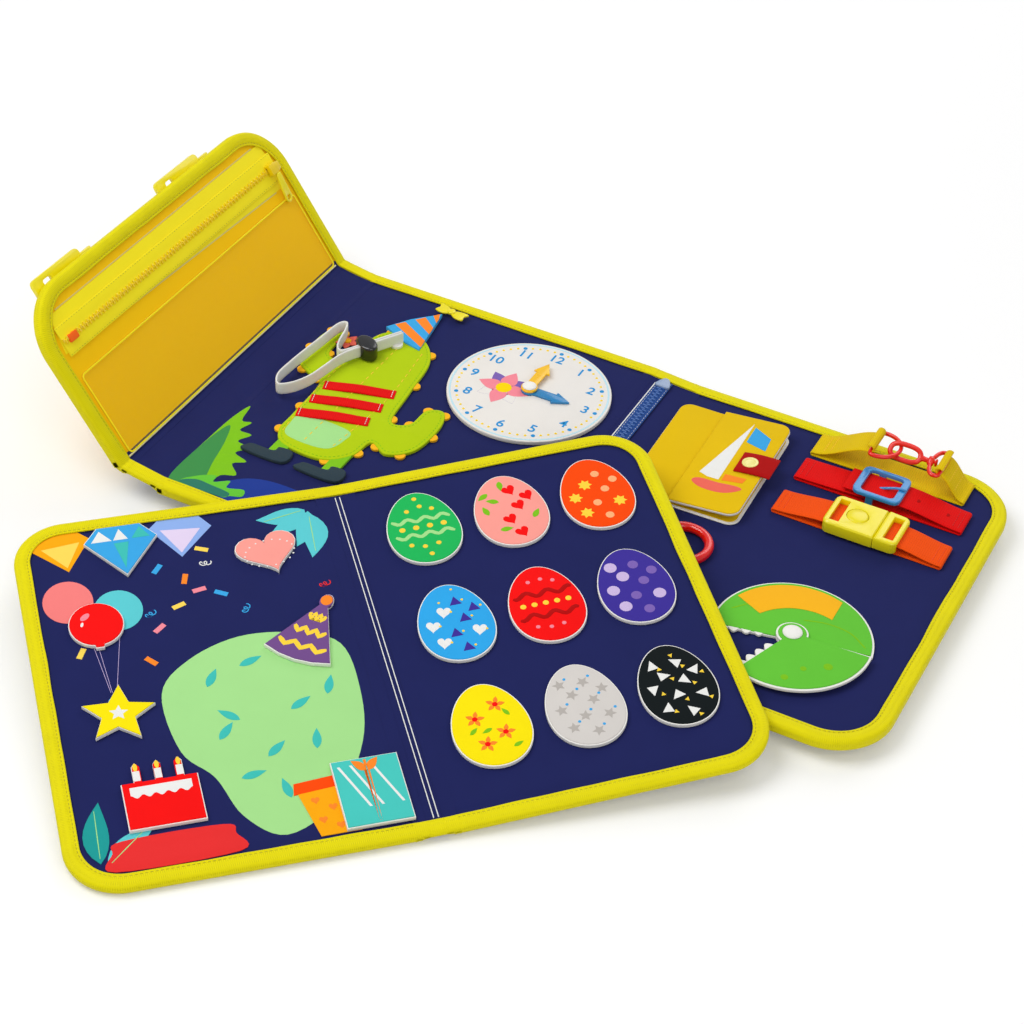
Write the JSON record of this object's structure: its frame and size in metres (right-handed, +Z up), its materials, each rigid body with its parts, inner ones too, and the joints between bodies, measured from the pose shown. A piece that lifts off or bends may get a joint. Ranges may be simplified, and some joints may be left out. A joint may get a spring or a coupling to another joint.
{
  "type": "busy board backpack",
  "caption": "Felt busy board that folds into a backpack, lying open with its book of peel-off shapes; bound boards carry a clock, belts, a clip, zips, a ring and a card.",
  "frame": {"origin": "middle of the near shoulder strap's underside, which lies on the table", "axes": "+X from the flap towards the end board, +Y away from the book, +Z up out of the boards' faces"},
  "size_m": [0.6766, 0.6459, 0.1388],
  "materials": {
    "navy_felt": "matte",
    "yellow_tape": "satin",
    "yellow_cloth": "satin",
    "clear_vinyl": "glossy clear",
    "dark_webbing": "matte",
    "lime_felt": "matte",
    "white_elastic": "matte",
    "black_plastic": "satin",
    "white_foam": "matte",
    "yellow_plastic": "glossy",
    "blue_plastic": "glossy",
    "zip_blue": "matte",
    "card_felt": "matte",
    "green_felt": "matte",
    "yellow_webbing": "matte",
    "red_webbing": "matte",
    "orange_webbing": "matte",
    "red_plastic": "glossy",
    "foam_green": "matte",
    "foam_pink": "matte",
    "foam_orange": "matte",
    "foam_blue": "matte",
    "foam_red": "matte",
    "foam_purple": "matte",
    "foam_yellow": "matte",
    "foam_grey": "matte",
    "foam_black": "matte",
    "foam_teal": "matte"
  },
  "bodies": {
    "middle_board": {"middle_panel": "navy_felt", "middle_binding": "yellow_tape", "shoulder_straps": "dark_webbing", "felt_figure": "lime_felt", "elastic_loop": "white_elastic", "clock_face": "white_foam"},
    "toggle": {"cord_toggle": "black_plastic"},
    "minute_pointer": {"minute_hand": "yellow_plastic"},
    "hour_pointer": {"hour_hand": "blue_plastic"},
    "flap_strip": {"flap_spine": "navy_felt"},
    "flap": {"flap_panel": "yellow_cloth", "flap_binding": "yellow_tape", "flap_window": "clear_vinyl", "flap_zipper": "yellow_cloth"},
    "slider": {"zip_slider": "yellow_plastic"},
    "pull": {"zip_pull": "yellow_plastic"},
    "near_closure": {"closure_tongue_near": "yellow_plastic"},
    "far_closure": {"closure_tongue_far": "yellow_plastic"},
    "spine": {"board_spine": "navy_felt", "spine_zipper": "zip_blue"},
    "end_board": {"end_panel": "navy_felt", "end_binding": "yellow_tape", "closure_sockets": "yellow_plastic", "card_base": "card_felt", "jaw_plate": "green_felt", "clip_webbing": "yellow_webbing", "clip_ring": "red_plastic", "hook_ring": "red_plastic", "red_belt": "red_webbing", "belt_buckle": "blue_plastic", "orange_belt": "orange_webbing", "release_socket": "yellow_plastic"},
    "card": {"card_cover": "card_felt"},
    "ring": {"pull_ring": "red_plastic"},
    "jaw": {"lower_jaw": "green_felt"},
    "hook": {"swivel_hook": "red_plastic"},
    "prong": {"belt_prong": "blue_plastic"},
    "tongue": {"release_tongue": "yellow_plastic"},
    "button": {"release_button": "yellow_plastic"},
    "right_leaf": {"right_page": "navy_felt", "right_binding": "yellow_tape"},
    "book_back": {"book_spine": "navy_felt"},
    "left_leaf": {"left_page": "navy_felt", "left_binding": "yellow_tape"},
    "egg_yellow_piece": {"egg_yellow": "foam_yellow"},
    "egg_white_piece": {"egg_white": "foam_grey"},
    "egg_black_piece": {"egg_black": "foam_black"},
    "egg_blue_piece": {"egg_blue": "foam_blue"},
    "egg_red_piece": {"egg_red": "foam_red"},
    "egg_purple_piece": {"egg_purple": "foam_purple"},
    "egg_green_piece": {"egg_green": "foam_green"},
    "egg_pink_piece": {"egg_pink": "foam_pink"},
    "egg_orange_piece": {"egg_orange": "foam_orange"},
    "party_diamond_piece": {"party_diamond": "foam_blue"},
    "party_heart_piece": {"party_heart": "foam_pink"},
    "party_balloon_piece": {"party_balloon": "foam_red"},
    "party_star_piece": {"party_star": "foam_yellow"},
    "party_cake_piece": {"party_cake": "foam_red"},
    "party_hat_piece": {"party_hat": "foam_purple"},
    "party_gift_piece": {"party_gift": "foam_teal"}
  },
  "joints": [
    {"name": "flap_strip_fold", "type": "hinge", "parent": "middle_board", "child": "flap_strip", "pos_m": [-0.126, -0.0825, 0.0218], "axis": [0, -1, 0], "range_deg": [-81, 9]},
    {"name": "flap_fold", "type": "hinge", "parent": "flap_strip", "child": "flap", "pos_m": [-0.15563, -0.0825, 0.02649], "axis": [0, -1, 0], "range_deg": [-44, 46]},
    {"name": "zip_run", "type": "slide", "parent": "flap", "child": "slider", "axis": [0, 1, 0], "range_m": [-0.268, 0]},
    {"name": "pull_lift", "type": "hinge", "parent": "slider", "child": "pull", "pos_m": [-0.2038, 0.214, 0.10557], "axis": [0, -1, 0], "range_deg": [0, 150]},
    {"name": "near_closure_fold", "type": "hinge", "parent": "flap", "child": "near_closure", "pos_m": [-0.24109, 0.0145, 0.13146], "axis": [0.5736, 0, -0.8192], "range_deg": [0, 90]},
    {"name": "far_closure_fold", "type": "hinge", "parent": "flap", "child": "far_closure", "pos_m": [-0.24109, 0.171, 0.13146], "axis": [0.5736, 0, -0.8192], "range_deg": [0, 90]},
    {"name": "spine_fold", "type": "hinge", "parent": "middle_board", "child": "spine", "pos_m": [0.126, -0.0825, 0.0218], "axis": [0, -1, 0], "range_deg": [0, 90]},
    {"name": "end_fold", "type": "hinge", "parent": "spine", "child": "end_board", "pos_m": [0.16589, -0.0825, 0.0188], "axis": [0, -1, 0], "range_deg": [0, 90]},
    {"name": "book_lift", "type": "slide", "parent": "middle_board", "child": "right_leaf", "axis": [0, 0, 1], "range_m": [0, 0.95]},
    {"name": "book_back_fold", "type": "hinge", "parent": "right_leaf", "child": "book_back", "pos_m": [0.21779, -0.26021, 0.008], "axis": [-0.6791, 0.7283, 0.0918], "range_deg": [0, 88]},
    {"name": "left_leaf_fold", "type": "hinge", "parent": "book_back", "child": "left_leaf", "pos_m": [0.20312, -0.27379, 0.00727], "axis": [-0.6791, 0.7283, 0.0918], "range_deg": [0, 88]},
    {"name": "minute_turn", "type": "hinge", "parent": "middle_board", "child": "minute_pointer", "pos_m": [0.057, 0.1545, 0.0267], "axis": [0, 0, 1], "continuous": true},
    {"name": "hour_turn", "type": "hinge", "parent": "middle_board", "child": "hour_pointer", "pos_m": [0.057, 0.1545, 0.0244], "axis": [0, 0, 1], "continuous": true},
    {"name": "toggle_slide", "type": "slide", "parent": "middle_board", "child": "toggle", "axis": [0.5, 0.866, 0], "range_m": [-0.008, 0.012]},
    {"name": "card_open", "type": "hinge", "parent": "end_board", "child": "card", "pos_m": [0.20287, 0.08869, 0.0216], "axis": [-0.0349, 0.9994, 0], "range_deg": [-105, 5]},
    {"name": "ring_turn", "type": "hinge", "parent": "end_board", "child": "ring", "pos_m": [0.23289, 0.0515, 0.0211], "axis": [0, 0, 1], "continuous": true},
    {"name": "jaw_bite", "type": "hinge", "parent": "end_board", "child": "jaw", "pos_m": [0.33839, 0.0005, 0.0209], "axis": [0, 0, 1], "range_deg": [-38, 12]},
    {"name": "hook_roll", "type": "hinge", "parent": "end_board", "child": "hook", "pos_m": [0.36139, 0.211, 0.0388], "axis": [1, 0, 0], "range_deg": [-5, 18]},
    {"name": "prong_lift", "type": "hinge", "parent": "end_board", "child": "prong", "pos_m": [0.33289, 0.1775, 0.0225], "axis": [0, -1, 0], "range_deg": [0, 60]},
    {"name": "tongue_pull", "type": "slide", "parent": "end_board", "child": "tongue", "axis": [1, 0, 0], "range_m": [0, 0.018], "deforming": ["orange_belt"]},
    {"name": "button_press", "type": "slide", "parent": "end_board", "child": "button", "axis": [0, 0, -1], "range_m": [0, 0.0015], "stiffness_N_per_m": 400},
    {"name": "peel_egg_yellow", "type": "slide", "parent": "right_leaf", "child": "egg_yellow_piece", "axis": [0.0087, -0.1171, 0.9931], "range_m": [0, 0.05]},
    {"name": "peel_egg_white", "type": "slide", "parent": "right_leaf", "child": "egg_white_piece", "axis": [0.0087, -0.1171, 0.9931], "range_m": [0, 0.05]},
    {"name": "peel_egg_black", "type": "slide", "parent": "right_leaf", "child": "egg_black_piece", "axis": [0.0087, -0.1171, 0.9931], "range_m": [0, 0.05]},
    {"name": "peel_egg_blue", "type": "slide", "parent": "right_leaf", "child": "egg_blue_piece", "axis": [0.0087, -0.1171, 0.9931], "range_m": [0, 0.05]},
    {"name": "peel_egg_red", "type": "slide", "parent": "right_leaf", "child": "egg_red_piece", "axis": [0.0087, -0.1171, 0.9931], "range_m": [0, 0.05]},
    {"name": "peel_egg_purple", "type": "slide", "parent": "right_leaf", "child": "egg_purple_piece", "axis": [0.0087, -0.1171, 0.9931], "range_m": [0, 0.05]},
    {"name": "peel_egg_green", "type": "slide", "parent": "right_leaf", "child": "egg_green_piece", "axis": [0.0087, -0.1171, 0.9931], "range_m": [0, 0.05]},
    {"name": "peel_egg_pink", "type": "slide", "parent": "right_leaf", "child": "egg_pink_piece", "axis": [0.0087, -0.1171, 0.9931], "range_m": [0, 0.05]},
    {"name": "peel_egg_orange", "type": "slide", "parent": "right_leaf", "child": "egg_orange_piece", "axis": [0.0087, -0.1171, 0.9931], "range_m": [0, 0.05]},
    {"name": "peel_party_diamond", "type": "slide", "parent": "left_leaf", "child": "party_diamond_piece", "axis": [0.0626, -0.0672, 0.9958], "range_m": [0, 0.05]},
    {"name": "peel_party_heart", "type": "slide", "parent": "left_leaf", "child": "party_heart_piece", "axis": [0.0626, -0.0672, 0.9958], "range_m": [0, 0.05]},
    {"name": "peel_party_balloon", "type": "slide", "parent": "left_leaf", "child": "party_balloon_piece", "axis": [0.0626, -0.0672, 0.9958], "range_m": [0, 0.05]},
    {"name": "peel_party_star", "type": "slide", "parent": "left_leaf", "child": "party_star_piece", "axis": [0.0626, -0.0672, 0.9958], "range_m": [0, 0.05]},
    {"name": "peel_party_cake", "type": "slide", "parent": "left_leaf", "child": "party_cake_piece", "axis": [0.0626, -0.0672, 0.9958], "range_m": [0, 0.05]},
    {"name": "peel_party_hat", "type": "slide", "parent": "left_leaf", "child": "party_hat_piece", "axis": [0.0626, -0.0672, 0.9958], "range_m": [0, 0.05]},
    {"name": "peel_party_gift", "type": "slide", "parent": "left_leaf", "child": "party_gift_piece", "axis": [0.0626, -0.0672, 0.9958], "range_m": [0, 0.05]}
  ],
  "couplings": [
    {"joint": "spine_fold", "follows": "book_lift", "rad_per_m": 1.653},
    {"joint": "end_fold", "follows": "book_lift", "rad_per_m": 1.653},
    {"joint": "book_back_fold", "follows": "left_leaf_fold", "ratio": 1}
  ]
}
